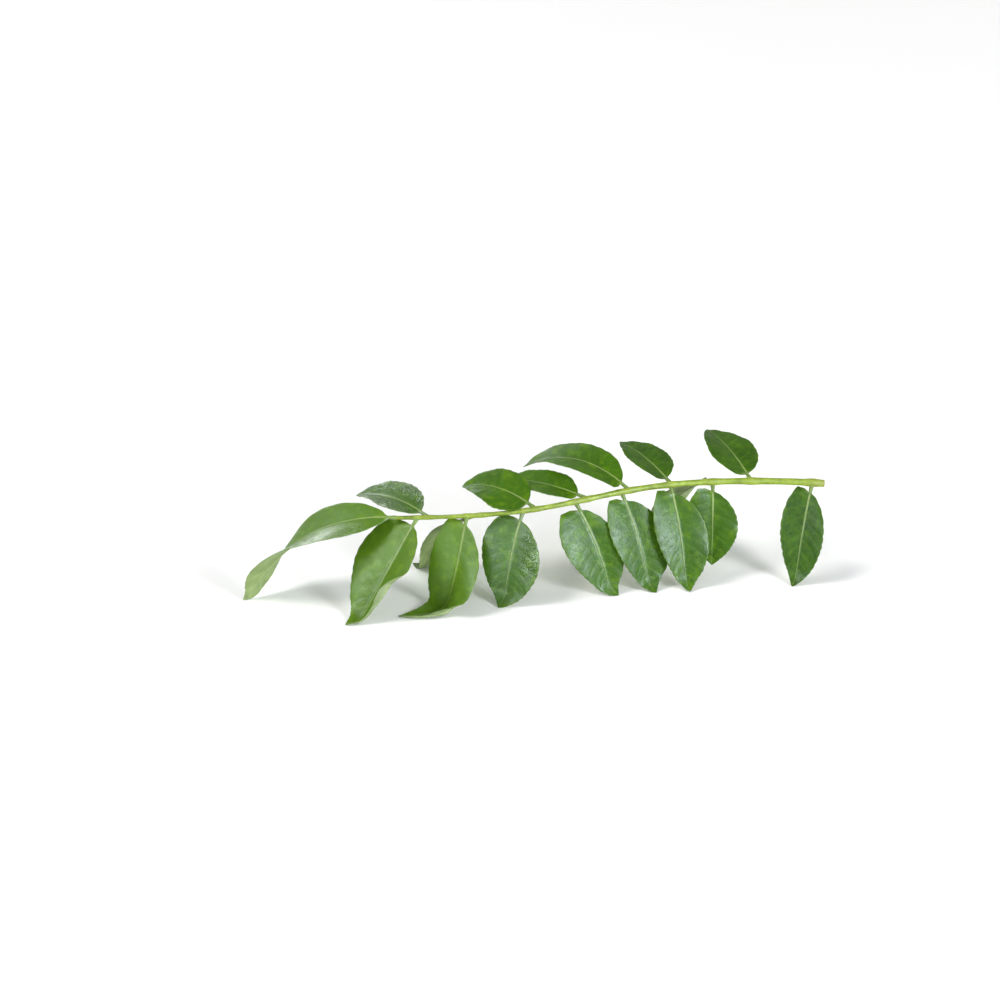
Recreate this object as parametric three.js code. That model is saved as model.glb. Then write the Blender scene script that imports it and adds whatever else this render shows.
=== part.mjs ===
// Curry leaf sprig: one pinnate leaf of the curry tree, cut at the foot of its stalk and lying on a table.
// Millimetres, +Z up. The stalk's cut end points to +X and the last leaflet to -X.
// The left row of leaflets hangs down on the -Y side, the right row spreads on the +Y side.
import * as THREE from "three";

// Rachis, the stalk that carries the leaflets
const RACHIS_LENGTH = 123;
const RACHIS_BASE_RADIUS = 1.05;
const RACHIS_TIP_RADIUS = 0.55;
const RACHIS_SIDES = 10;
const RACHIS_STATIONS = 42;
const RACHIS_HEIGHT = 26.5;
const BEND_MIDDLE = 68;
const BEND_SPREAD = 26;
const BEND_SIDEWAYS = 9;
const BEND_UP = 2.2;
const BASE_DIP = 1.4;
const BASE_DIP_LENGTH = 16;
const NODE_SWELLING = 0.22;
const NODE_SPREAD = 1.8;

// What every leaflet shares
const STALKLET_LENGTH = 1.1;
const STALKLET_RADIUS = 0.5;
const BLADE_THICKNESS = 0.42;
const MIDRIB_DEPTH = 0.3;
const MIDRIB_HALF_WIDTH = 0.1;
const BLADE_BOW = 0.022;
const BLADE_WAVE = 0.45;
const SPREADING_SHARE = 0.05;
const JOINT_GAP = 0.3;
const THINNING = 12;
const WAVES = 1.5;
const BLADE_STATIONS = 12;
const LAST_SHARE = 0.985;
const SPINE_STEPS = 120;

// The table's top is z = 0. A drooping leaflet bends this tightly to lie along it, and its two halves
// open flat over the last few millimetres of height.
const TABLE_BEND_RADIUS = 6;
const FLATTENING_HEIGHT = 2;

// Outline: how the half width grows from the stalklet and shrinks to the tip. The half that faces
// the tip of the sprig has the rounder shoulder.
const FULL_SIDE = { rise: 0.42, fall: 0.92 };
const SLIM_SIDE = { rise: 0.72, fall: 0.95 };

// Shares of the half width where a leaflet's cross-section has its points
const COLUMNS = [-1, -0.6, -MIDRIB_HALF_WIDTH, 0, MIDRIB_HALF_WIDTH, 0.6, 1];

const BLADE_GREEN = 0x3f7a26;
const TERMINAL_GREEN = 0x5b8f35;
const RACHIS_GREEN = 0xa3b557;

// Leaflets. at: distance along the rachis from the cut end. heading: direction in plan, in degrees
// from +X. pitch and droop: slope of the midrib at its foot and at its tip. swing: turn in plan from
// foot to tip. roll and twist: tilt of the blade about the midrib at its foot, and what the tip adds.
// fold and curl: how far the two halves rise from the midrib at the foot, and at the tip. lean: how much
// wider the half that faces the sprig's tip is than half the width.
const LEFT_LEAFLETS = [
  { at: 3.4, length: 28.5, width: 13.5, heading: -116, pitch: -60, droop: -80, roll: -6, fold: 18 },
  { at: 32.3, length: 22.5, width: 15, heading: -88, pitch: -74, droop: -88, roll: 0, fold: 12 },
  { at: 44.6, length: 29.4, width: 16, heading: -68, pitch: -54, droop: -82, roll: 8, fold: 17 },
  { at: 58.9, length: 28.8, width: 17, heading: -46, pitch: -56, droop: -80, roll: 22, fold: 16 },
  { at: 72.3, length: 27.8, width: 17, heading: -32, pitch: -54, droop: -78, roll: 37, fold: 18, lean: 0.2 },
  { at: 87.1, length: 26.5, width: 18, heading: -122, pitch: -56, droop: -84, roll: -14, fold: 13 },
  { at: 103, length: 38.5, width: 17, heading: -112, swing: -76, pitch: -58, droop: -80, fold: 16, curl: 34 },
  {
    at: 117,
    length: 35.5,
    width: 21,
    heading: -130,
    swing: -20,
    pitch: -40,
    droop: -58,
    fold: 16,
    curl: 36,
    lean: 0.14,
  },
];
const RIGHT_LEAFLETS = [
  { at: 21.1, length: 27, width: 17, heading: 112, pitch: 22, droop: -4, roll: 10, fold: 14 },
  { at: 32.3, length: 37, width: 15.5, heading: 128, pitch: -22, droop: -88, fold: 16 },
  { at: 44.3, length: 24, width: 15.5, heading: 122, pitch: 20, droop: -4, roll: 8, fold: 16 },
  { at: 56.6, length: 35, width: 16, heading: 144, swing: 14, pitch: 30, droop: -36, roll: -6, fold: 18 },
  { at: 68.6, length: 23, width: 13, heading: 152, swing: 8, pitch: 12, droop: -8, roll: -8, fold: 14 },
  { at: 83.5, length: 22, width: 17, heading: 146, swing: 18, pitch: 24, droop: -18, roll: -14, fold: 10 },
  { at: 98.9, length: 37, width: 15, heading: 136, pitch: -24, droop: -84, fold: 14 },
  { at: 114, length: 25, width: 15, heading: 136, swing: 18, pitch: 14, droop: -20, roll: -6, fold: 18 },
];
const TERMINAL_LEAFLET = {
  at: RACHIS_LENGTH,
  length: 51.5,
  width: 18,
  heading: 180,
  swing: 16,
  pitch: 4,
  droop: -66,
  roll: -24,
  twist: 110,
  fold: 14,
};

const radians = THREE.MathUtils.degToRad;
const mix = THREE.MathUtils.lerp;

// Point of the rachis' middle line at a distance from the cut end. It runs level, then bends to the
// left and down in one soft S.
function rachisPoint(distance) {
  const bend = -Math.tanh((distance - BEND_MIDDLE) / BEND_SPREAD);
  const dip = BASE_DIP * Math.exp(-distance / BASE_DIP_LENGTH);
  return new THREE.Vector3(-distance, BEND_SIDEWAYS * bend, RACHIS_HEIGHT + BEND_UP * bend - dip);
}

function rachisDirection(distance) {
  const step = 0.5;
  return rachisPoint(distance + step).sub(rachisPoint(distance - step)).normalize();
}

// The rachis thins towards its tip and swells a little where each leaflet leaves it.
function rachisRadius(distance) {
  const plain = mix(RACHIS_BASE_RADIUS, RACHIS_TIP_RADIUS, distance / RACHIS_LENGTH);
  const swellings = [...LEFT_LEAFLETS, ...RIGHT_LEAFLETS].map((leaflet) => {
    return Math.exp(-(((distance - leaflet.at) / NODE_SPREAD) ** 2));
  });
  return plain * (1 + NODE_SWELLING * Math.min(1, Math.max(...swellings)));
}

// Closed skin over rings of points that run anticlockwise seen from the far end. The first and the
// last ring are closed with a fan of triangles from a point between the ring's crest and its keel.
// The quads' diagonals mirror each other about that line, so the two faces of a thin sheet match.
function skin(rings) {
  const sides = rings[0].length;
  const half = sides / 2;
  const crest = Math.floor(half / 2);
  const centre = (ring) => ring[crest].clone().lerp(ring[crest + half], 0.5);
  const points = [...rings.flat(), centre(rings[0]), centre(rings.at(-1))];
  const footCentre = points.length - 2;
  const tipCentre = points.length - 1;
  const lastRing = (rings.length - 1) * sides;
  const triangles = [];
  for (let side = 0; side < sides; side += 1) {
    const next = (side + 1) % sides;
    const inward = side % half < half / 2;
    for (let ring = 0; ring < lastRing; ring += sides) {
      const following = ring + sides;
      if (inward) {
        triangles.push(ring + side, ring + next, following + side);
        triangles.push(ring + next, following + next, following + side);
      } else {
        triangles.push(ring + side, ring + next, following + next);
        triangles.push(ring + side, following + next, following + side);
      }
    }
    triangles.push(footCentre, next, side);
    triangles.push(tipCentre, lastRing + side, lastRing + next);
  }
  const geometry = new THREE.BufferGeometry().setFromPoints(points);
  geometry.setIndex(triangles);
  geometry.computeVertexNormals();
  return geometry;
}

function rachisGeometry() {
  const rings = [];
  for (let station = 0; station <= RACHIS_STATIONS; station += 1) {
    const distance = (RACHIS_LENGTH * station) / RACHIS_STATIONS;
    const direction = rachisDirection(distance);
    const across = new THREE.Vector3(0, 0, 1).cross(direction).normalize();
    const above = new THREE.Vector3().crossVectors(direction, across);
    const radius = rachisRadius(distance);
    const ring = [];
    for (let side = 0; side < RACHIS_SIDES; side += 1) {
      const turn = (2 * Math.PI * side) / RACHIS_SIDES;
      const point = rachisPoint(distance);
      point.addScaledVector(across, radius * Math.cos(turn));
      ring.push(point.addScaledVector(above, radius * Math.sin(turn)));
    }
    rings.push(ring);
  }
  return skin(rings);
}

// Directions along, across and above the blade at a share of the leaflet's length, where its midrib
// slopes by a given elevation in degrees.
function bladeFrame(leaflet, share, elevation) {
  const heading = radians(leaflet.heading + (leaflet.swing ?? 0) * share * share);
  const slope = radians(elevation);
  const roll = radians((leaflet.roll ?? 0) + (leaflet.twist ?? 0) * share * share);
  const along = new THREE.Vector3(Math.cos(heading), Math.sin(heading), Math.tan(slope)).normalize();
  const level = new THREE.Vector3(-Math.sin(heading), Math.cos(heading), 0);
  const upright = new THREE.Vector3().crossVectors(along, level);
  const across = level.clone().multiplyScalar(Math.cos(roll)).addScaledVector(upright, Math.sin(roll));
  const above = new THREE.Vector3().crossVectors(along, across);
  return { along, across, above };
}

// A leaflet starts a small gap off the rachis' skin, or off the end of the rachis.
function footPoint(leaflet) {
  const axis = rachisDirection(leaflet.at);
  const { along } = bladeFrame(leaflet, 0, leaflet.pitch);
  const slant = Math.abs(along.dot(axis));
  const clear = rachisRadius(leaflet.at) + JOINT_GAP + STALKLET_RADIUS * slant;
  const atEnd = leaflet.at >= RACHIS_LENGTH;
  const reach = atEnd ? JOINT_GAP + STALKLET_RADIUS : clear / Math.sqrt(1 - slant * slant);
  return rachisPoint(leaflet.at).addScaledVector(along, reach);
}

// Middle line of a leaflet: an arc that bends down under its own weight and turns to lie along the
// table where it meets it.
function leafletSpine(leaflet) {
  const total = STALKLET_LENGTH + leaflet.length;
  const point = footPoint(leaflet);
  const spine = [];
  for (let step = 0; step <= SPINE_STEPS; step += 1) {
    const share = step / SPINE_STEPS;
    const room = Math.max(0, point.z) / TABLE_BEND_RADIUS;
    const steepest = THREE.MathUtils.radToDeg(-Math.acos(Math.max(0, 1 - room)));
    const elevation = Math.max(mix(leaflet.pitch, leaflet.droop, share), steepest);
    const frame = bladeFrame(leaflet, share, elevation);
    spine.push({ point: point.clone(), ...frame });
    point.addScaledVector(frame.along, total / SPINE_STEPS);
  }
  return spine;
}

// Half width of the blade on one side of the midrib, 0 at its foot and its tip.
function halfWidth(leaflet, share, side) {
  const towardsTip = leaflet === TERMINAL_LEAFLET ? 0 : Math.sign(leaflet.heading);
  const { rise, fall } = side === towardsTip ? FULL_SIDE : SLIM_SIDE;
  const widest = rise / (rise + fall);
  const peak = widest ** rise * (1 - widest) ** fall;
  const lean = (leaflet.lean ?? 0) * side * towardsTip;
  return ((leaflet.width / 2) * (1 + lean) * share ** rise * (1 - share) ** fall) / peak;
}

// One cross-section at a distance from the leaflet's foot: round in the stalklet, then a thin sheet
// that is folded along its midrib.
function leafletRing(leaflet, place, distance) {
  const share = Math.max(0, (distance - STALKLET_LENGTH) / leaflet.length);
  const spread = THREE.MathUtils.smoothstep(share, 0, SPREADING_SHARE);
  const free = Math.min(1, Math.max(0, place.point.z) / FLATTENING_HEIGHT);
  const ownFold = leaflet.fold * free;
  const fold = spread * radians(mix(ownFold, leaflet.curl ?? ownFold, share * share));
  const ripple = Math.sin(WAVES * 2 * Math.PI * share + leaflet.at);
  const wave = spread * free * (1 - share) * BLADE_WAVE * ripple;
  const stem = STALKLET_RADIUS * (1 - share);
  const sheet = (BLADE_THICKNESS / 2) * Math.min(1, THINNING * (1 - share));
  const keel = MIDRIB_DEPTH * (1 - share);
  const steps = COLUMNS.length - 1;

  const ringPoint = (column, face) => {
    const turn = (Math.PI * (steps - column)) / steps;
    const spot = COLUMNS[column];
    const side = Math.sign(spot);
    const roundReach = stem * Math.abs(Math.cos(turn));
    const flatReach = Math.abs(spot) * halfWidth(leaflet, share, side);
    const reach = mix(roundReach, Math.max(roundReach, flatReach), spread);
    const flatHalf = sheet * Math.sqrt(1 - spot ** 2) + (face < 0 && side === 0 ? keel : 0);
    const half = face * mix(stem * Math.sin(turn), flatHalf, spread);
    const rise = fold - BLADE_BOW * reach;
    const outward = side * (reach * Math.cos(rise) - half * Math.sin(rise));
    const upward = reach * Math.sin(rise) + half * Math.cos(rise) + wave * spot ** 2;
    const point = place.point.clone();
    point.addScaledVector(place.across, outward).addScaledVector(place.above, upward);
    point.z = Math.max(face > 0 ? sheet : 0, point.z);
    return point;
  };

  const top = COLUMNS.map((_, column) => ringPoint(column, 1)).reverse();
  const bottom = COLUMNS.map((_, column) => ringPoint(column, -1)).slice(1, -1);
  return [...top, ...bottom];
}

// Rings from the foot of the stalklet to the tip of the blade, closer together at both ends of the
// blade, where its outline curves most.
function leafletGeometry(leaflet) {
  const total = STALKLET_LENGTH + leaflet.length;
  const spine = leafletSpine(leaflet);
  const placeAt = (distance) => spine[Math.round((SPINE_STEPS * distance) / total)];
  const ringAt = (distance) => leafletRing(leaflet, placeAt(distance), distance);
  const rings = [ringAt(0)];
  for (let station = 0; station <= BLADE_STATIONS; station += 1) {
    const share = LAST_SHARE * 0.5 * (1 - Math.cos((Math.PI * station) / BLADE_STATIONS));
    rings.push(ringAt(STALKLET_LENGTH + leaflet.length * share));
  }
  return skin(rings);
}

function addPiece(group, name, geometry, color, roughness) {
  const material = new THREE.MeshStandardMaterial({ color, roughness, metalness: 0 });
  const mesh = new THREE.Mesh(geometry, material);
  mesh.name = name;
  group.add(mesh);
}

const sprig = new THREE.Group();
addPiece(sprig, "rachis", rachisGeometry(), RACHIS_GREEN, 0.55);
LEFT_LEAFLETS.forEach((leaflet, index) => {
  addPiece(sprig, `leaflet_left_${index + 1}`, leafletGeometry(leaflet), BLADE_GREEN, 0.42);
});
RIGHT_LEAFLETS.forEach((leaflet, index) => {
  addPiece(sprig, `leaflet_right_${index + 1}`, leafletGeometry(leaflet), BLADE_GREEN, 0.42);
});
addPiece(sprig, "leaflet_terminal", leafletGeometry(TERMINAL_LEAFLET), TERMINAL_GREEN, 0.42);

// The origin is under the middle of the sprig, on the table.
const box = new THREE.Box3().setFromObject(sprig);
const middle = box.getCenter(new THREE.Vector3());
sprig.position.set(-middle.x, -middle.y, -box.min.z);

export default sprig;
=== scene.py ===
from math import pi

import bpy
import numpy as np
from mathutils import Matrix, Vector


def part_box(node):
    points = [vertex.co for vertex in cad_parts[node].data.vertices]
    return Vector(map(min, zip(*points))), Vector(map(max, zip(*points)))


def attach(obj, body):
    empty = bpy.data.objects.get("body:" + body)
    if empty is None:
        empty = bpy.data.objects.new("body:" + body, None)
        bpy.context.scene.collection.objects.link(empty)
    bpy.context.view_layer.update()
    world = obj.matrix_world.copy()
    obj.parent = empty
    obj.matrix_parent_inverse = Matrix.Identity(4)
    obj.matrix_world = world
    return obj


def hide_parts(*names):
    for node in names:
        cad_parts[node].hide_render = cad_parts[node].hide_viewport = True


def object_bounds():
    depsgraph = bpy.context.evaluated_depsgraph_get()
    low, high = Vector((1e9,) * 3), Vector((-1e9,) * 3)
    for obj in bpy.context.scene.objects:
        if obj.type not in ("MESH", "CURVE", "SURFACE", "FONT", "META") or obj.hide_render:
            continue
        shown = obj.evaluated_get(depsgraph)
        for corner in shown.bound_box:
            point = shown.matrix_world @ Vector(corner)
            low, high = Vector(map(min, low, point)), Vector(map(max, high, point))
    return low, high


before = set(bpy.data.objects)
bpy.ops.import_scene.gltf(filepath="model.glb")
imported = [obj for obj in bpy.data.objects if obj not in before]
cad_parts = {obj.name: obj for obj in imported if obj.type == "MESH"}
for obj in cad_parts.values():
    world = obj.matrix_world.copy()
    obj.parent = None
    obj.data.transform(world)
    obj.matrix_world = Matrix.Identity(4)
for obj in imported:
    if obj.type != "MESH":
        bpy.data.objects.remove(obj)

CAD_LOW, CAD_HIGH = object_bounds()
MM = 0.001

# --- the CAD's driving dimensions ---------------------------------------------------------------
RACHIS_LENGTH = 123
RACHIS_RADIUS = (1.05, 0.55)
RACHIS_HEIGHT = 26.5
BEND_MIDDLE = 68
BEND_SPREAD = 26
BEND_SIDEWAYS = 9
BEND_UP = 2.2
BASE_DIP = 1.4
BASE_DIP_LENGTH = 16
NODE_SWELLING = 0.22
NODE_SPREAD = 1.8
STALKLET_LENGTH = 1.1
STALKLET_RADIUS = 0.5
JOINT_GAP = 0.3
BLADE_WAVE = 0.45
WAVES = 1.5
TABLE_BEND_RADIUS = 6
FLATTENING_HEIGHT = 2
FULL_SIDE = (0.42, 0.92)
SPINE_STEPS = 120

# Each leaflet's row, as in the CAD, with what only the looks have. tone: 0 is an old dark leaflet, and
# from 1 up a young bright one. rolled_from: where along the blade the margin that faces the cut end starts
# to roll up over it. wet: the side that is wet, 0 for both, and the stretch of it, which is glossier and
# carries pale specks of painted glare.
LEFT_LEAFLETS = [
    dict(at=3.4, length=28.5, width=13.5, heading=-116, pitch=-60, droop=-80, roll=-6, fold=18, tone=0.2),
    dict(at=32.3, length=22.5, width=15, heading=-88, pitch=-74, droop=-88, roll=0, fold=12, tone=0.55),
    dict(at=44.6, length=29.4, width=16, heading=-68, pitch=-54, droop=-82, roll=8, fold=17, tone=0.5),
    dict(at=58.9, length=28.8, width=17, heading=-46, pitch=-56, droop=-80, roll=22, fold=16, tone=0.5),
    dict(at=72.3, length=27.8, width=17, heading=-32, pitch=-54, droop=-78, roll=37, fold=18, lean=0.2,
         tone=0.6),
    dict(at=87.1, length=26.5, width=18, heading=-122, pitch=-56, droop=-84, roll=-14, fold=13, tone=0.6,
         wet=dict(side=1, start=0.04, end=0.7)),
    dict(at=103, length=38.5, width=17, heading=-112, swing=-76, pitch=-58, droop=-80, fold=16, curl=34,
         tone=1.1, rolled_from=0.45),
    dict(at=117, length=35.5, width=21, heading=-130, swing=-20, pitch=-40, droop=-58, fold=16, curl=36,
         lean=0.14, tone=1.15, rolled_from=0.32),
]
RIGHT_LEAFLETS = [
    dict(at=21.1, length=27, width=17, heading=112, pitch=22, droop=-4, roll=10, fold=14, tone=0.3),
    dict(at=32.3, length=37, width=15.5, heading=128, pitch=-22, droop=-88, fold=16, tone=0.2),
    dict(at=44.3, length=24, width=15.5, heading=122, pitch=20, droop=-4, roll=8, fold=16, tone=0.3),
    dict(at=56.6, length=35, width=16, heading=144, swing=14, pitch=30, droop=-36, roll=-6, fold=18,
         tone=0.7),
    dict(at=68.6, length=23, width=13, heading=152, swing=8, pitch=12, droop=-8, roll=-8, fold=14,
         tone=0.65),
    dict(at=83.5, length=22, width=17, heading=146, swing=18, pitch=24, droop=-18, roll=-14, fold=10,
         tone=0.7),
    dict(at=98.9, length=37, width=15, heading=136, pitch=-24, droop=-84, fold=14, tone=0.25),
    dict(at=114, length=25, width=15, heading=136, swing=18, pitch=14, droop=-20, roll=-6, fold=18,
         tone=0.5, wet=dict(side=0, start=0.0, end=0.9)),
]
TERMINAL_LEAFLET = dict(
    at=RACHIS_LENGTH, length=51.5, width=18, heading=180, swing=16, pitch=4, droop=-66, roll=-24, twist=110,
    fold=14, tone=1.05, wet=dict(side=1, start=0.1, end=0.6),
)

# --- the blade's fine surface -------------------------------------------------------------------
BLADE_HALF = 0.15
EDGE_THINNING = 8
TIP_THINNING = 12
# The slim side's outline and the bow across the blade are fuller and flatter than the CAD's
SLIM_SIDE = (0.76, 0.86)
BLADE_BOW = 0.012
SOFT_FOLD = 0.5
# The foot spreads from the stalklet, with a full shoulder on the side that faces the sprig's tip
SPREADING_SHARE = 0.04
SHOULDER = 0.11
SHOULDER_LEAN = 1.5
SHOULDER_SPREAD = 0.13
SHOULDER_CURVE = 1.5
PULVINUS = 0.3
PULVINUS_LENGTH = 0.9

MIDRIB_HALF_WIDTH = (0.24, 0.06)
MIDRIB_WIDEST_SHARE = 0.3
MIDRIB_RAISED = 0.1
MIDRIB_KEEL = 0.38
MIDRIB_FLATTENING = 0.7
MIDRIB_FADING = 0.6
STALKLET_MARK = 0.55

VEINS = 10
ROWS_PER_VEIN = 8
VEIN_SWEEP = 0.75
VEIN_CURVE = 1.25
VEIN_SWAY = 0.048
VEIN_SWAY_WAVES = 2.7
VEIN_END = 0.97
VEIN_FADING = 0.4
VEIN_RELIEF = 0.05
VEIN_SUNK = 0.6
PUFFING = 0.03

FLUTTER = 0.1
FLUTTER_WAVES = 4.3
SCALLOPS = 15
SCALLOP_DEPTH = 0.22
SCALLOP_FULL_WIDTH = 3
SCALLOP_CURVE = 10
EDGE_MARK = 0.1

ROLL_SIDE = 1
ROLL_ANGLE = 165
ROLL_INNER = 0.54
ROLL_TURN = 0.16
ROLL_GROWTH = 0.2
ROLL_END = 1.1
ROLL_FADING = 0.12

WET_GROWTH = 0.1
WET_FADING = 0.2
WET_FROM = 0.2
WET_SPREAD = 0.3

# Where a half blade has its points, from the midrib's middle outwards. RIBS counts half widths of the
# midrib, up to where it ends, and SHARES runs over the blade outside it, more densely at the margin.
# Round the stalklet the same points stand at TURNS.
RIB_COLUMNS = np.array([0.5, 1.0, 1.6])
BLADE_COLUMNS = np.concatenate([np.arange(0.07, 0.6, 0.08), np.arange(0.6, 0.95, 0.04), [0.96, 0.985, 1.0]])
RIBS = np.concatenate([[0], RIB_COLUMNS, np.full(len(BLADE_COLUMNS), RIB_COLUMNS[-1])])[None]
SHARES = np.concatenate([[0], 0 * RIB_COLUMNS, BLADE_COLUMNS])[None]
HALF_SIDES = SHARES.shape[1] - 1
TURNS = pi / 2 * (1 - np.arange(HALF_SIDES + 1) / HALF_SIDES)[None]
STALKLET_ROWS = 9
FOOT_ROWS = (0.001, 0.003, 0.006)
TIP_ROWS = (0.994, 0.998, 0.9995)

# --- the rachis' fine surface -------------------------------------------------------------------
RACHIS_SIDES = 28
RACHIS_STATIONS = 260
RACHIS_OVERRUN = 0.4
GROOVE = 0.1
GROOVE_SPREAD = 0.45
RIDGES = 7
RIDGE_HEIGHT = 0.018
RIDGE_TURN = 0.05
WOBBLE = 0.03
WOBBLE_RATES = (0.61, 0.23)
CUT_BROWNING_LENGTH = 2.5
CENTRING_SAMPLES = 400
# The cut end: how far out each ring lies, and how deep: a rim, a shallow step and a sunken pith
CUT_RINGS = [(0.9, -0.02), (0.62, 0.03), (0.3, 0.12)]


def mix(a, b, share):
    return a + (b - a) * share


def smooth(share):
    share = np.clip(share, 0, 1)
    return share * share * (3 - 2 * share)


def rachis_point(distance):
    """Points of the rachis' middle line, one row for each distance from the cut end."""
    distance = np.asarray(distance, float)
    bend = -np.tanh((distance - BEND_MIDDLE) / BEND_SPREAD)
    dip = BASE_DIP * np.exp(-distance / BASE_DIP_LENGTH)
    return np.stack([-distance, BEND_SIDEWAYS * bend, RACHIS_HEIGHT + BEND_UP * bend - dip], -1)


def rachis_direction(distance):
    step = rachis_point(np.asarray(distance) + 0.5) - rachis_point(np.asarray(distance) - 0.5)
    return step / np.linalg.norm(step, axis=-1, keepdims=True)


def node_swelling(distance):
    """1 where a leaflet leaves the rachis, falling to 0 away from it."""
    places = np.array([leaflet["at"] for leaflet in LEFT_LEAFLETS + RIGHT_LEAFLETS])
    away = (np.asarray(distance, float)[..., None] - places) / NODE_SPREAD
    return np.exp(-(away**2)).max(-1)


def rachis_radius(distance):
    plain = mix(*RACHIS_RADIUS, np.asarray(distance) / RACHIS_LENGTH)
    return plain * (1 + NODE_SWELLING * node_swelling(distance))


def tip_side(leaflet):
    """The side of the blade that faces the sprig's tip. The leaflet at the tip has none."""
    return 0 if leaflet is TERMINAL_LEAFLET else np.sign(leaflet["heading"])


def blade_frame(leaflet, share, elevation):
    """Directions along, across and above the blade where its midrib slopes by elevation degrees."""
    heading = np.radians(leaflet["heading"] + leaflet.get("swing", 0) * share**2)
    roll = np.radians(leaflet.get("roll", 0) + leaflet.get("twist", 0) * share**2)
    slope = np.radians(elevation)
    along = np.array([np.cos(heading) * np.cos(slope), np.sin(heading) * np.cos(slope), np.sin(slope)])
    level = np.array([-np.sin(heading), np.cos(heading), 0])
    upright = np.cross(along, level)
    across = level * np.cos(roll) + upright * np.sin(roll)
    return along, across, np.cross(along, across)


def foot_slant(leaflet):
    """Cosine of the angle between the leaflet's foot and the rachis towards its tip."""
    return blade_frame(leaflet, 0, leaflet["pitch"])[0] @ rachis_direction(leaflet["at"])


def foot_reach(leaflet):
    """Distance from the rachis' middle line to where the CAD's leaflet starts."""
    if leaflet is TERMINAL_LEAFLET:
        return JOINT_GAP + STALKLET_RADIUS
    slant = abs(foot_slant(leaflet))
    return (rachis_radius(leaflet["at"]) + JOINT_GAP + STALKLET_RADIUS * slant) / np.sqrt(1 - slant**2)


def leaflet_spine(leaflet):
    """The middle line and its frames at even steps from the foot to the tip. It bends down under its
    own weight, and turns to lie along the table where it meets it."""
    total = STALKLET_LENGTH + leaflet["length"]
    along = blade_frame(leaflet, 0, leaflet["pitch"])[0]
    point = rachis_point(leaflet["at"]) + along * foot_reach(leaflet)
    rows = []
    for step in range(SPINE_STEPS + 1):
        share = step / SPINE_STEPS
        room = max(0, point[2]) / TABLE_BEND_RADIUS
        steepest = -np.degrees(np.arccos(max(0, 1 - room)))
        elevation = max(mix(leaflet["pitch"], leaflet["droop"], share), steepest)
        along, across, above = blade_frame(leaflet, share, elevation)
        rows.append([*point, *across, *above, *along])
        point = point + along * total / SPINE_STEPS
    return np.array(rows)


def on_spine(spine, total, distance):
    """Points, across and above at any distances. Before the foot the line runs on straight."""
    inside = np.clip(distance, 0, total)
    steps = np.linspace(0, total, SPINE_STEPS + 1)
    read = np.stack([np.interp(inside, steps, spine[:, k]) for k in range(spine.shape[1])], -1)
    points = read[..., 0:3] + read[..., 9:12] * (distance - inside)[..., None]
    return points, read[..., 3:6], read[..., 6:9]


def half_width(leaflet, share, side):
    """Half width of the blade on one side of the midrib. The side that faces the sprig's tip is full."""
    rise, fall = FULL_SIDE if side == tip_side(leaflet) else SLIM_SIDE
    widest = rise / (rise + fall)
    peak = widest**rise * (1 - widest) ** fall
    share = np.clip(share, 0, 1)
    lean = leaflet.get("lean", 0) * side * tip_side(leaflet)
    return leaflet["width"] / 2 * (1 + lean) * share**rise * (1 - share) ** fall / peak


def row_starts(leaflet):
    """Where each row of the skin leaves the midrib, as a share of the blade: the stalklet's rows are
    below 0, and the blade's follow its side veins."""
    inside = -(STALKLET_LENGTH + foot_reach(leaflet)) / leaflet["length"]
    stalklet = np.linspace(inside, 0, STALKLET_ROWS, endpoint=False)
    veins = np.linspace(0, 1, VEINS * ROWS_PER_VEIN, endpoint=False)
    return np.sort(np.concatenate([stalklet, veins, FOOT_ROWS, TIP_ROWS]))


def margin_roll(leaflet, blade, side):
    """Angle by which the margin rolls up over the blade, on the side and the stretch that has a roll."""
    if "rolled_from" not in leaflet or side != ROLL_SIDE:
        return 0 * blade
    grown = smooth((blade - leaflet["rolled_from"]) / ROLL_GROWTH)
    along = grown * smooth((ROLL_END - blade) / ROLL_FADING)
    inner = 1 - (1 - ROLL_INNER) * along
    return np.radians(ROLL_ANGLE) * along * smooth((SHARES - inner) / ROLL_TURN)


def wetness(leaflet, blade, side):
    wet = leaflet.get("wet")
    if not wet or wet["side"] == -side:
        return 0 * blade
    along = smooth((blade - wet["start"]) / WET_GROWTH) * smooth((wet["end"] - blade) / WET_FADING)
    return along * smooth((SHARES - WET_FROM) / WET_SPREAD)


def row_outline(leaflet, starts):
    """Where along the blade each point of a row lies. The rows sweep forward as side veins do."""
    inner = np.clip(starts, 0, 1)
    bulge = inner * (1 - inner)
    sway = VEIN_SWAY * np.sin(2 * pi * VEIN_SWAY_WAVES * inner + leaflet["at"]) * bulge
    return starts + VEIN_SWEEP * bulge * SHARES**VEIN_CURVE + sway


def drawn_back(leaflet, blade, side, spread):
    """How far the foot's shoulder reaches back towards the rachis, as a share of the blade."""
    slant = foot_slant(leaflet)
    room = SHOULDER * (1 - slant**2) ** 2 * (1 + SHOULDER_LEAN * max(0, -slant))
    shoulder = room * (side == tip_side(leaflet)) * spread * SHARES**SHOULDER_CURVE
    return shoulder * np.exp(-blade / SHOULDER_SPREAD)


def flat_reach(leaflet, starts, blade, side):
    """How far each point lies from the midrib's middle along the sheet, with the toothed margin."""
    width = half_width(leaflet, blade, side)
    rib = np.minimum(mix(*MIDRIB_HALF_WIDTH, blade), MIDRIB_WIDEST_SHARE * width)
    notch = 1 - np.abs(np.sin(pi * SCALLOPS * starts + leaflet["at"]))
    notch = SCALLOP_DEPTH * notch * np.clip(width / SCALLOP_FULL_WIDTH, 0, 1)
    return rib * RIBS + (width - rib * RIB_COLUMNS[-1]) * SHARES - notch * SHARES**SCALLOP_CURVE


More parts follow.
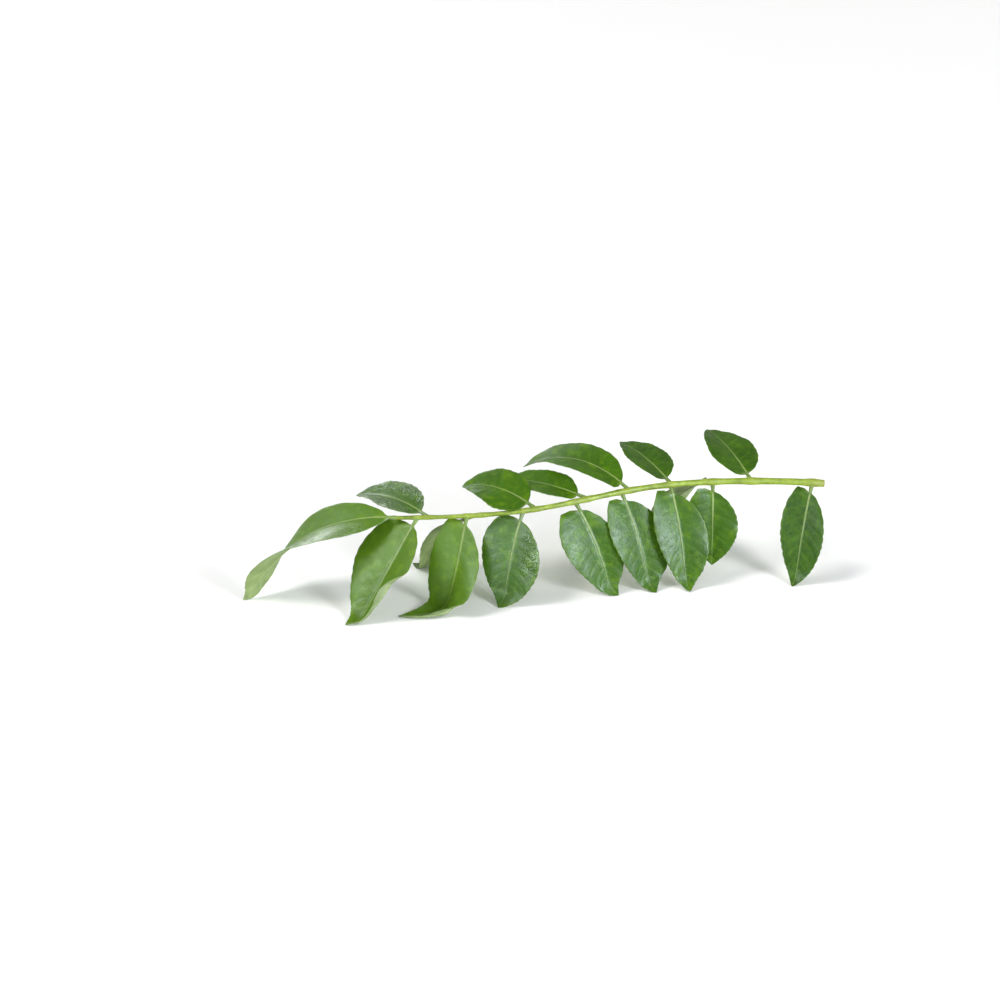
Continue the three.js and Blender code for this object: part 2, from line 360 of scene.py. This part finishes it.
def sheet_slope(leaflet, blade, side, reach, free, spread):
    """How steeply the sheet rises from the midrib. On the table, where free is 0, it has no fold."""
    own_fold = leaflet["fold"] * free
    fold = spread * np.radians(mix(own_fold, leaflet.get("curl", own_fold), blade**2))
    slope = fold * (1 - np.exp(-reach / SOFT_FOLD)) - 2 * BLADE_BOW * reach
    return slope + margin_roll(leaflet, blade, side)


def walk_out(reach, slope):
    """Distances out and up from the midrib, step by step along a sheet with this slope."""
    steps = np.diff(reach, axis=1)
    halfway = (slope[:, 1:] + slope[:, :-1]) / 2
    start = reach[:, :1]
    out = np.concatenate([start, start + np.cumsum(steps * np.cos(halfway), 1)], 1)
    lift = np.concatenate([0 * start, np.cumsum(steps * np.sin(halfway), 1)], 1)
    return out, lift


def vein_distance(starts, side):
    """Distance to the nearest side vein, as a share of the space between two. They alternate."""
    return (starts * VEINS + (0.5 if side > 0 else 0)) % 1 - 0.5


def vein_strength(starts, side):
    """1 on a side vein, fading to 0 at the margin."""
    beside = np.abs(vein_distance(starts, side)) * ROWS_PER_VEIN
    vein = np.clip(1 - beside, 0, 1) * (starts > 0) * (SHARES > 0)
    return vein * smooth((VEIN_END - SHARES) / VEIN_FADING)


def surface_waves(leaflet, starts, blade, side):
    """Waves of the whole margin, and the puffed cells between the side veins."""
    phase = leaflet["at"]
    wave = (1 - blade) * BLADE_WAVE * np.sin(WAVES * 2 * pi * blade + phase) * SHARES**2
    puff = PUFFING * np.sin(pi * SHARES) * (0.5 - 0.5 * np.cos(2 * pi * vein_distance(starts, side)))
    flutter = FLUTTER * SHARES**3 * np.sin(2 * pi * FLUTTER_WAVES * starts + 2 * phase + side)
    return wave + puff + flutter


def sheet_thickness(blade, vein, face):
    """From the middle of the sheet to its upper face (1) or lower face (-1), with midrib and veins."""
    thinning = np.sqrt(1 - SHARES**EDGE_THINNING) * np.clip(TIP_THINNING * (1 - blade), 0, 1)
    relief = (MIDRIB_RAISED if face > 0 else MIDRIB_KEEL) * (1 - MIDRIB_FLATTENING * blade)
    rib_shape = np.clip(1 - (RIBS / RIB_COLUMNS[-1]) ** 2, 0, 1)
    vein_lift = VEIN_RELIEF * vein * (-VEIN_SUNK if face > 0 else 1.0)
    return (BLADE_HALF + vein_lift) * thinning + relief * rib_shape


def skin_marks(leaflet, blade, side, spread, vein):
    """The marks of each point: midrib, side vein, margin, tone and wetness."""
    rib_mark = (RIBS < RIB_COLUMNS[-1]) * (1 - MIDRIB_FADING * blade)
    rib_mark = rib_mark * spread + STALKLET_MARK * (1 - spread)
    edge_mark = smooth((SHARES - 1 + EDGE_MARK) / EDGE_MARK) * spread
    tone = np.full(blade.shape, leaflet["tone"])
    wet = wetness(leaflet, blade, side)
    return np.stack([rib_mark, vein * spread, edge_mark, tone, wet], -1)


def quarter_skin(leaflet, spine, side, face):
    """One side of one face, from the midrib's middle to the margin: its points and their marks."""
    starts = row_starts(leaflet)[:, None]
    outline = row_outline(leaflet, starts)
    blade = np.clip(outline, 0, 1)
    spread = smooth(blade / SPREADING_SHARE)
    along = outline - drawn_back(leaflet, blade, side, spread)
    distance = STALKLET_LENGTH + leaflet["length"] * along
    place, across, above = on_spine(spine, STALKLET_LENGTH + leaflet["length"], distance)
    free = np.clip(place[..., 2] / FLATTENING_HEIGHT, 0, 1)
    skin_depth = foot_reach(leaflet) - rachis_radius(leaflet["at"])
    pulvinus = PULVINUS * np.exp(-(((distance + skin_depth) / PULVINUS_LENGTH) ** 2))
    stem = STALKLET_RADIUS * (1 - blade) * (1 + pulvinus)
    reach = mix(stem * np.cos(TURNS), flat_reach(leaflet, starts, blade, side), spread)
    slope = sheet_slope(leaflet, blade, side, reach, free, spread)
    out, lift = walk_out(reach, slope)
    lift = lift + spread * free * surface_waves(leaflet, starts, blade, side)
    vein = vein_strength(starts, side)
    thick = face * mix(stem * np.sin(TURNS), sheet_thickness(blade, vein, face), spread)
    outward = side * (out - thick * np.sin(slope))
    points = place + across * outward[..., None] + above * (lift + thick * np.cos(slope))[..., None]
    points[..., 2] = np.maximum(points[..., 2], BLADE_HALF if face > 0 else 0.0)
    return points, skin_marks(leaflet, blade, side, spread, vein)


def leaflet_skin(leaflet):
    """Rings of points round the leaflet, and rings of their marks. Each starts at a margin, and runs
    over the upper side and back along the underside."""
    spine = leaflet_spine(leaflet)
    quarter = {(side, face): quarter_skin(leaflet, spine, side, face) for side in (1, -1) for face in (1, -1)}
    rings = []
    for kind in (0, 1):
        top_far = quarter[1, 1][kind][:, :0:-1]
        top_near = quarter[-1, 1][kind]
        under_near = quarter[-1, -1][kind][:, -2:0:-1]
        under_far = quarter[1, -1][kind][:, :-1]
        rings.append(np.concatenate([top_far, top_near, under_near, under_far], 1))
    return rings


def skin_faces(rows, sides):
    """Quads between rings that run anticlockwise seen from the far end."""
    ring, side = np.meshgrid(np.arange(rows - 1), np.arange(sides), indexing="ij")
    following = (side + 1) % sides
    near, far = ring * sides, (ring + 1) * sides
    return np.stack([near + side, near + following, far + following, far + side], -1).reshape(-1, 4)


def add_mesh(name, points, faces, materials, slots, marks):
    """A smooth-shaded mesh object in the row frame. slots says which material each face has."""
    mesh = bpy.data.meshes.new(name)
    mesh.from_pydata(((points + OFFSET) * MM).tolist(), [], [list(face) for face in faces])
    for material in materials:
        mesh.materials.append(material)
    mesh.polygons.foreach_set("material_index", np.asarray(slots, np.int32))
    mesh.polygons.foreach_set("use_smooth", np.ones(len(faces), bool))
    layer = mesh.color_attributes.new("marks", "FLOAT_COLOR", "POINT")
    layer.data.foreach_set("color", np.ascontiguousarray(marks[:, :4], np.float32).ravel())
    layer = mesh.attributes.new("wet", "FLOAT", "POINT")
    layer.data.foreach_set("value", np.ascontiguousarray(marks[:, 4], np.float32))
    mesh.validate()
    mesh.update()
    piece = bpy.data.objects.new(name, mesh)
    bpy.context.scene.collection.objects.link(piece)
    return piece


def add_leaflet(leaflet, node):
    rings, marks = leaflet_skin(leaflet)
    rows, sides = rings.shape[:2]
    faces = skin_faces(rows, sides).tolist()
    slots = list((np.tile(np.arange(sides), rows - 1) >= 2 * HALF_SIDES).astype(int))
    last = (rows - 1) * sides
    faces += [list(range(sides))[::-1], list(range(last, last + sides))]
    slots += [1, 1]
    upper = WET_UPPER if "wet" in leaflet else UPPER
    points, marks = rings.reshape(-1, 3), marks.reshape(-1, 5)
    piece = add_mesh(node + "_skin", points, faces, [upper, UNDER], slots, marks)
    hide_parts(node)
    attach(piece, "root")


def rachis_rings(distance, direction):
    """Rings round the rachis, with a groove along its upper side, low ridges and an uneven radius."""
    across = np.cross([0, 0, 1], direction)
    across /= np.linalg.norm(across, axis=-1, keepdims=True)
    above = np.cross(direction, across)
    turn = 2 * pi * np.arange(RACHIS_SIDES) / RACHIS_SIDES
    groove = 1 - GROOVE * np.exp(-(((turn - pi / 2) / GROOVE_SPREAD) ** 2))
    ridges = 1 + RIDGE_HEIGHT * np.sin(RIDGES * turn[None] + RIDGE_TURN * distance[:, None])
    slow, slower = WOBBLE_RATES
    wobble = 1 + WOBBLE * np.sin(distance * slow) * np.sin(distance * slower + 1)
    radius = (rachis_radius(distance) * wobble)[:, None] * groove * ridges
    rings = rachis_point(distance)[:, None] + across[:, None] * (radius * np.cos(turn))[..., None]
    return rings + above[:, None] * (radius * np.sin(turn))[..., None]


def add_rachis(stem, cut):
    distance = np.linspace(0, RACHIS_LENGTH + RACHIS_OVERRUN, RACHIS_STATIONS)
    direction = rachis_direction(distance)
    rings = rachis_rings(distance, direction)
    marks = np.zeros(rings.shape[:2] + (5,))
    marks[..., 0] = node_swelling(distance)[:, None]
    marks[..., 1] = np.exp(-distance / CUT_BROWNING_LENGTH)[:, None]
    faces = skin_faces(*rings.shape[:2]).tolist()
    slots = [0] * len(faces)
    points, marks = rings.reshape(-1, 3), marks.reshape(-1, 5)
    centre = rachis_point(0.0)
    outer = list(range(RACHIS_SIDES))
    for share, sunk in CUT_RINGS:
        inner = list(range(len(points), len(points) + RACHIS_SIDES))
        points = np.concatenate([points, centre + (rings[0] - centre) * share + direction[0] * sunk])
        marks = np.concatenate([marks, np.tile([0, 1 - share, 0, 0, 0], (RACHIS_SIDES, 1))])
        for side in range(RACHIS_SIDES):
            following = (side + 1) % RACHIS_SIDES
            faces.append([outer[following], outer[side], inner[side], inner[following]])
            slots.append(1)
        outer = inner
    last = (len(distance) - 1) * RACHIS_SIDES
    faces += [outer[::-1], list(range(last, last + RACHIS_SIDES))]
    slots += [1, 0]
    piece = add_mesh("rachis_skin", points, faces, [stem, cut], slots, marks)
    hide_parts("rachis")
    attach(piece, "root")


# --- materials ----------------------------------------------------------------------------------
# How many features of each pattern there are in a metre
PATCHES = 150
UNDER_PATCHES = 220
BLOTCHES = 380
UNEVENNESS = 420
DULLNESS = 500
MOTTLING = 900
GLANDS = 1300
GRAIN = 1400
NET = 1500
UNDER_GRAIN = 1800
BEADS_AND_GLINTS = 2300
STEM_STREAKS = 420
STEM_DULLNESS = 800
STEM_GRAIN = 1500
STEM_SPECKS = 2600
PITH_GRAIN = 4200
PITH_FIBRES = 5200
FLOOR_CLOUDS = 3

# How deep the bumps are, in metres
BLADE_BUMPS = 0.0001
UNDER_BUMPS = 0.00006
STEM_BUMPS = 0.00008

# The upper side's greens, from the oldest blade to the youngest, then what lies on them
OLD = (0.006, 0.034, 0.0004, 1)
GROWN = (0.062, 0.18, 0.0006, 1)
YOUNG = (0.17, 0.31, 0.02, 1)
MOTTLED = (0.075, 0.19, 0.001, 1)
BLOTCHED = (0.15, 0.31, 0.001, 1)
VEIN = (0.14, 0.26, 0.015, 1)
GLAND = (0.16, 0.28, 0.02, 1)
EDGE = (0.16, 0.27, 0.02, 1)
MIDRIB = (0.34, 0.45, 0.14, 1)
# Painted glare: a pale colour laid in specks on the wet stretch, standing for the shine of light on water
# beads
PAINTED_WET_GLARE = (0.42, 0.52, 0.36, 1)
THROUGH = (0.11, 0.26, 0.002, 1)
THROUGH_MIDRIB = (0.16, 0.25, 0.03, 1)

# The underside's
UNDER_DARK = (0.2, 0.3, 0.07, 1)
UNDER_PALE = (0.32, 0.43, 0.13, 1)
UNDER_NET = (0.42, 0.52, 0.22, 1)
UNDER_GLAND = (0.13, 0.21, 0.04, 1)
UNDER_VEIN = (0.42, 0.54, 0.22, 1)
UNDER_MIDRIB = (0.46, 0.56, 0.24, 1)
UNDER_THROUGH = (0.12, 0.26, 0.005, 1)

# The rachis' and its cut end's
STEM_DARK = (0.15, 0.225, 0.01, 1)
STEM_PALE = (0.29, 0.39, 0.04, 1)
STEM_NODE = (0.27, 0.33, 0.04, 1)
STEM_SPECK = (0.14, 0.14, 0.04, 1)
STEM_BROWNED = (0.28, 0.22, 0.08, 1)
PITH_DARK = (0.42, 0.4, 0.18, 1)
PITH_PALE = (0.55, 0.55, 0.28, 1)
RIND = (0.22, 0.2, 0.07, 1)
FLOOR_DARK = (0.86, 0.86, 0.86, 1)
FLOOR_PALE = (0.9, 0.9, 0.9, 1)

THROUGH_SHARE = 0.28
WET_ROUGHNESS = 0.22


class Nodes:
    """A material's node tree with short calls for the nodes that the looks below share."""

    def __init__(self, name):
        self.material = bpy.data.materials.new(name)
        self.material.use_nodes = True
        self.tree = self.material.node_tree
        self.shader = self.tree.nodes["Principled BSDF"]
        self.output = self.tree.nodes["Material Output"]
        self.place = self.tree.nodes.new("ShaderNodeTexCoord").outputs["Object"]
        marks = self.attribute("marks")
        split = self.tree.nodes.new("ShaderNodeSeparateColor")
        self.tree.links.new(marks.outputs["Color"], split.inputs[0])
        self.red, self.green, self.blue = split.outputs
        self.alpha = marks.outputs["Alpha"]
        self.wet = self.attribute("wet").outputs["Fac"]

    def attribute(self, name):
        node = self.tree.nodes.new("ShaderNodeAttribute")
        node.attribute_name = name
        return node

    def put(self, socket, value):
        if isinstance(value, bpy.types.NodeSocket):
            self.tree.links.new(value, socket)
        else:
            socket.default_value = value

    def set(self, **inputs):
        """Sets the shader's inputs, whose names are written with _ for each space."""
        for name, value in inputs.items():
            self.put(self.shader.inputs[name.replace("_", " ")], value)

    def noise(self, scale, detail=3.0, rough=0.5):
        node = self.tree.nodes.new("ShaderNodeTexNoise")
        self.put(node.inputs["Vector"], self.place)
        self.put(node.inputs["Scale"], scale)
        self.put(node.inputs["Detail"], detail)
        self.put(node.inputs["Roughness"], rough)
        return node.outputs["Fac"]

    def cells(self, scale, feature="F1"):
        node = self.tree.nodes.new("ShaderNodeTexVoronoi")
        node.feature = feature
        self.put(node.inputs["Vector"], self.place)
        self.put(node.inputs["Scale"], scale)
        return node.outputs["Distance"]

    def ramp(self, value, low, high, start=0.0, end=1.0):
        """Goes from start to end while the value goes from low to high."""
        node = self.tree.nodes.new("ShaderNodeMapRange")
        node.interpolation_type = "SMOOTHSTEP"
        for socket, number in zip(node.inputs[:5], (value, low, high, start, end)):
            self.put(socket, number)
        return node.outputs[0]

    def math(self, operation, a, b):
        node = self.tree.nodes.new("ShaderNodeMath")
        node.operation = operation
        self.put(node.inputs[0], a)
        self.put(node.inputs[1], b)
        return node.outputs[0]

    def add(self, a, b):
        return self.math("ADD", a, b)

    def times(self, a, b):
        return self.math("MULTIPLY", a, b)

    def blend(self, share, a, b):
        node = self.tree.nodes.new("ShaderNodeMix")
        node.data_type = "RGBA"
        first, second, result = node.inputs[6], node.inputs[7], node.outputs[2]
        self.put(node.inputs["Factor"], share)
        self.put(first, a)
        self.put(second, b)
        return result

    def cover(self, below, mask, share, colour):
        """Lays a colour on the ones below, up to this share where the mask is 1."""
        return self.blend(self.times(mask, share), below, colour)

    def bump(self, height, distance, strength):
        node = self.tree.nodes.new("ShaderNodeBump")
        self.put(node.inputs["Height"], height)
        self.put(node.inputs["Distance"], distance)
        self.put(node.inputs["Strength"], strength)
        return node.outputs["Normal"]

    def let_light_through(self, colour, normal):
        """The blade is thin: part of the light that falls on its far side shows on this one."""
        through = self.tree.nodes.new("ShaderNodeBsdfTranslucent")
        self.put(through.inputs["Color"], colour)
        self.put(through.inputs["Normal"], normal)
        mixed = self.tree.nodes.new("ShaderNodeMixShader")
        self.put(mixed.inputs[0], THROUGH_SHARE)
        self.put(mixed.inputs[1], self.shader.outputs[0])
        self.put(mixed.inputs[2], through.outputs[0])
        self.put(self.output.inputs["Surface"], mixed.outputs[0])


def blade_upper(name, gloss):
    n = Nodes(name)
    patches = n.ramp(n.noise(PATCHES), 0.35, 0.68)
    green = n.blend(n.add(n.times(patches, 0.3), n.times(n.alpha, 0.8)), OLD, GROWN)
    green = n.cover(green, n.ramp(n.noise(MOTTLING, 4, 0.65), 0.35, 0.65), 0.4, MOTTLED)
    blotches = n.ramp(n.noise(BLOTCHES, 5, 0.6), 0.5, 0.66)
    green = n.cover(green, blotches, n.times(n.alpha, 0.85), BLOTCHED)
    green = n.blend(n.ramp(n.alpha, 0.8, 1.2, 0.0, 0.5), green, YOUNG)
    net = n.ramp(n.cells(NET, "DISTANCE_TO_EDGE"), 0.0, 0.12, 1.0, 0.0)
    green = n.cover(green, net, 0.12, VEIN)
    glands = n.ramp(n.cells(GLANDS), 0.1, 0.24, 1.0, 0.0)
    green = n.cover(green, glands, 0.3, GLAND)
    green = n.cover(green, n.green, 0.25, VEIN)
    green = n.cover(green, n.blue, 0.4, EDGE)
    green = n.cover(green, n.red, 0.85, MIDRIB)
    # Painted glare: pale specks on the wet stretch stand for light shining off water beads; the same speck
    # pattern also bumps the surface
    beads_and_glints = n.ramp(n.noise(BEADS_AND_GLINTS, 2), 0.5, 0.62)
    green = n.cover(green, n.wet, n.times(beads_and_glints, 0.32), PAINTED_WET_GLARE)
    dry = n.ramp(n.noise(DULLNESS, 4), 0.3, 0.7, 0.36, 0.48)
    relief = n.add(n.times(glands, 0.5), n.noise(GRAIN, 4, 0.6))
    relief = n.add(relief, n.noise(UNEVENNESS, 2))
    relief = n.add(relief, n.times(n.wet, n.times(beads_and_glints, 1.5)))
    normal = n.bump(relief, BLADE_BUMPS, 0.65)
    roughness = n.ramp(n.wet, 0.0, 1.0, dry, WET_ROUGHNESS)
    n.set(Base_Color=green, Roughness=roughness, Specular_IOR_Level=gloss, Normal=normal)
    n.let_light_through(n.blend(n.red, THROUGH, THROUGH_MIDRIB), normal)
    return n.material


def blade_under():
    n = Nodes("blade_under")
    green = n.blend(n.ramp(n.noise(UNDER_PATCHES), 0.35, 0.68), UNDER_DARK, UNDER_PALE)
    net = n.ramp(n.cells(NET, "DISTANCE_TO_EDGE"), 0.0, 0.14, 1.0, 0.0)
    green = n.cover(green, net, 0.3, UNDER_NET)
    glands = n.ramp(n.cells(GLANDS), 0.1, 0.22, 1.0, 0.0)
    green = n.cover(green, glands, 0.35, UNDER_GLAND)
    green = n.cover(green, n.green, 0.6, UNDER_VEIN)
    green = n.cover(green, n.red, 0.9, UNDER_MIDRIB)
    normal = n.bump(n.add(net, n.noise(UNDER_GRAIN)), UNDER_BUMPS, 0.6)
    n.set(Base_Color=green, Roughness=0.6, Sheen_Weight=0.1, Normal=normal)
    n.let_light_through(UNDER_THROUGH, normal)
    return n.material


def rachis_stem():
    n = Nodes("rachis_stem")
    green = n.blend(n.ramp(n.noise(STEM_STREAKS, 5, 0.6), 0.3, 0.7), STEM_DARK, STEM_PALE)
    green = n.cover(green, n.red, 0.35, STEM_NODE)
    green = n.cover(green, n.ramp(n.noise(STEM_SPECKS, 2), 0.62, 0.7), 0.35, STEM_SPECK)
    green = n.cover(green, n.green, 0.4, STEM_BROWNED)
    roughness = n.ramp(n.noise(STEM_DULLNESS), 0.3, 0.7, 0.42, 0.6)
    normal = n.bump(n.noise(STEM_GRAIN, 4, 0.6), STEM_BUMPS, 0.7)
    n.set(Base_Color=green, Roughness=roughness, Specular_IOR_Level=0.2, Normal=normal)
    n.set(Subsurface_Weight=0.1, Subsurface_Scale=0.0008)
    return n.material


def cut_face():
    n = Nodes("cut_face")
    pale = n.blend(n.ramp(n.noise(PITH_FIBRES, 2), 0.4, 0.62), PITH_DARK, PITH_PALE)
    pale = n.blend(n.ramp(n.green, 0.05, 0.3, 1.0, 0.0), pale, RIND)
    n.set(Base_Color=pale, Roughness=0.7, Normal=n.bump(n.noise(PITH_GRAIN), STEM_BUMPS, 0.8))
    return n.material


# --- stage --------------------------------------------------------------------------------------
# Places and sizes here are in metres, but CAMERA_AIM is a point in the CAD's own millimetres
SKY_COLOUR = (0.97, 0.99, 1.0, 1)
SKY_STRENGTH = 0.55
SUN_PLACE = (-0.5, -0.12, 0.66)
SUN_STRENGTH = 1.9
SUN_ANGLE = 24
SUN_COLOUR = (1, 0.98, 0.94)
COOL = (0.84, 0.94, 1)
# Soft discs that face the sprig. Those with shine_only show in its gloss and light nothing else.
DISCS = [
    dict(name="panel", place=(0.75, -0.72, 0.32), size=0.4, watts=52, colour=(0.78, 0.91, 1),
         shine_only=True),
    dict(name="fill", place=(0.75, -0.72, 0.4), size=0.36, watts=9, colour=(0.97, 0.98, 1),
         shine_only=False),
    dict(name="front", place=(-0.45, -0.85, 0.34), size=0.36, watts=11, colour=COOL, shine_only=True),
    dict(name="side", place=(-0.75, -0.15, 0.62), size=0.5, watts=22, colour=COOL, shine_only=True),
    dict(name="back", place=(-0.33, 0.9, 0.35), size=0.4, watts=4, colour=(0.95, 0.98, 1),
         shine_only=True),
]
FLOOR_SIZE = 14
CAMERA_ELEVATION = 24
CAMERA_DISTANCE = 0.675
CAMERA_AIM = (-93.7, 0, 26)
CAMERA_LENS = 85
CAMERA_SENSOR = 36


def add_floor():
    bpy.ops.mesh.primitive_plane_add(size=FLOOR_SIZE, location=(0, 0, 0))
    floor = bpy.context.object
    floor.name = "floor"
    n = Nodes("floor_paint")
    n.set(Base_Color=n.blend(n.noise(FLOOR_CLOUDS), FLOOR_DARK, FLOOR_PALE), Roughness=0.8)
    floor.data.materials.append(n.material)


def put_light(lamp, place, aim):
    light = bpy.data.objects.new(lamp.name, lamp)
    light.location = place
    light.rotation_euler = (Vector(aim) - Vector(place)).to_track_quat("-Z", "Y").to_euler()
    bpy.context.scene.collection.objects.link(light)
    return light


def add_lights():
    world = bpy.data.worlds.new("studio")
    world.use_nodes = True
    sky = world.node_tree.nodes["Background"]
    sky.inputs["Color"].default_value = SKY_COLOUR
    sky.inputs["Strength"].default_value = SKY_STRENGTH
    bpy.context.scene.world = world
    bpy.context.scene.view_settings.view_transform = "Standard"
    sun = bpy.data.lights.new("sun", "SUN")
    sun.energy = SUN_STRENGTH
    sun.angle = np.radians(SUN_ANGLE)
    sun.color = SUN_COLOUR
    put_light(sun, SUN_PLACE, (0, 0, 0))
    for row in DISCS:
        disc = bpy.data.lights.new(row["name"], "AREA")
        disc.shape = "DISK"
        disc.color = row["colour"]
        disc.size = row["size"]
        disc.energy = row["watts"]
        put_light(disc, row["place"], (CAD_LOW + CAD_HIGH) / 2).visible_diffuse = not row["shine_only"]


def add_camera():
    """Looks down at the sprig from its near side. The sprig lies right of the picture's middle."""
    elevation = np.radians(CAMERA_ELEVATION)
    back = np.array([0, -np.cos(elevation), np.sin(elevation)])
    camera = bpy.data.cameras.new("camera")
    camera.lens = CAMERA_LENS
    camera.sensor_width = CAMERA_SENSOR
    holder = bpy.data.objects.new("camera", camera)
    holder.location = (np.array(CAMERA_AIM) + OFFSET) * MM + back * CAMERA_DISTANCE
    holder.rotation_euler = Vector(-back).to_track_quat("-Z", "Y").to_euler()
    bpy.context.scene.collection.objects.link(holder)
    bpy.context.scene.camera = holder


def cad_offset():
    """What the CAD added to centre the sprig over the origin: its cut end is the rachis' +X end."""
    low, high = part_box("rachis")
    centre_x = high.x / MM - abs(rachis_direction(0.0)[2]) * rachis_radius(0.0)
    distance = np.linspace(0, RACHIS_LENGTH, CENTRING_SAMPLES)
    own_y = rachis_point(distance)[:, 1]
    radius = rachis_radius(distance)
    own_middle = ((own_y - radius).min() + (own_y + radius).max()) / 2
    return np.array([centre_x, (low.y + high.y) / 2 / MM - own_middle, 0])


OFFSET = cad_offset()
UPPER = blade_upper("blade_upper", gloss=0.15)
WET_UPPER = blade_upper("blade_wet", gloss=0.32)
UNDER = blade_under()
add_rachis(rachis_stem(), cut_face())
for number, row in enumerate(LEFT_LEAFLETS, 1):
    add_leaflet(row, f"leaflet_left_{number}")
for number, row in enumerate(RIGHT_LEAFLETS, 1):
    add_leaflet(row, f"leaflet_right_{number}")
add_leaflet(TERMINAL_LEAFLET, "leaflet_terminal")
add_floor()
add_lights()
add_camera()
